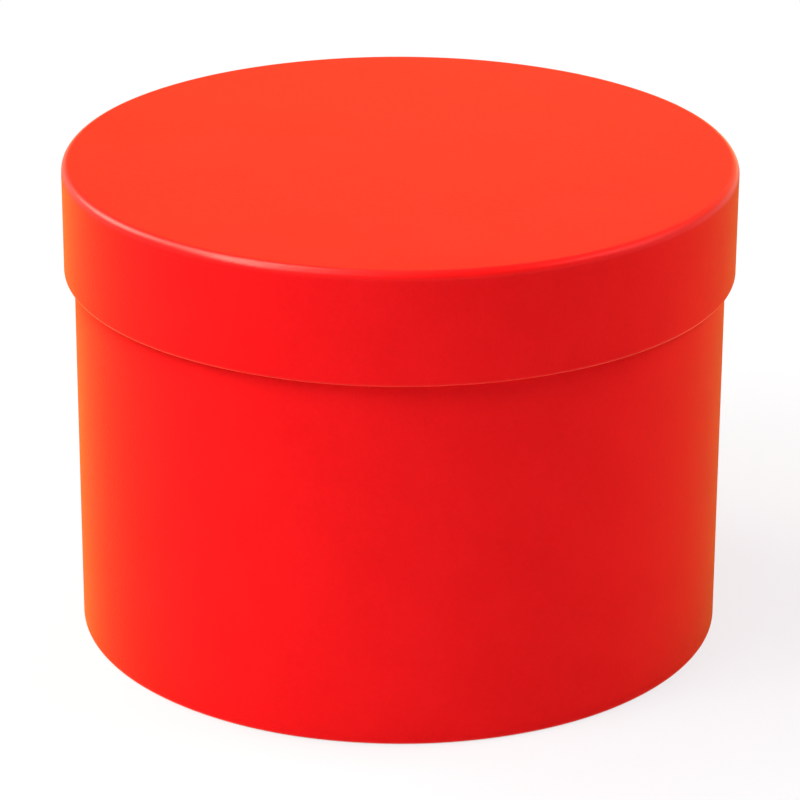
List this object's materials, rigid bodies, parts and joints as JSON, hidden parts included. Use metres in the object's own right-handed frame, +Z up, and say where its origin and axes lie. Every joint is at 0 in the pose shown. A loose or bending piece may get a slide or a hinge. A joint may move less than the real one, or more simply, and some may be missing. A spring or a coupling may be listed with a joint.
{
  "type": "round box",
  "caption": "Round rigid box of paper-covered board: a straight-sided drum with a flat, round-edged lid that lifts straight off. Holds gifts, hats or keepsakes.",
  "frame": {"origin": "centre of the underside, on the surface that the box stands on", "axes": "+Z up along the centre line that every piece is turned round, which the lid lifts along; -Y is the side that faces the viewer in the picture, and +X is to its right"},
  "size_m": [0.2, 0.2, 0.1455],
  "materials": {
    "red_paper": "matte",
    "greyboard": "matte",
    "lining_paper": "matte"
  },
  "bodies": {
    "box": {"body_tube": "greyboard", "base_board": "greyboard", "body_wrap": "red_paper", "base_cover_paper": "red_paper", "body_wall_lining": "lining_paper", "body_floor_lining": "lining_paper"},
    "lid": {"lid_rim_board": "greyboard", "lid_top_board": "greyboard", "lid_side_wrap": "red_paper", "lid_top_cover": "red_paper", "lid_wall_lining": "lining_paper", "lid_ceiling_lining": "lining_paper"}
  },
  "joints": [
    {"name": "lid_lift", "type": "slide", "parent": "box", "child": "lid", "axis": [0, 0, 1], "range_m": [0, 0.09]}
  ]
}
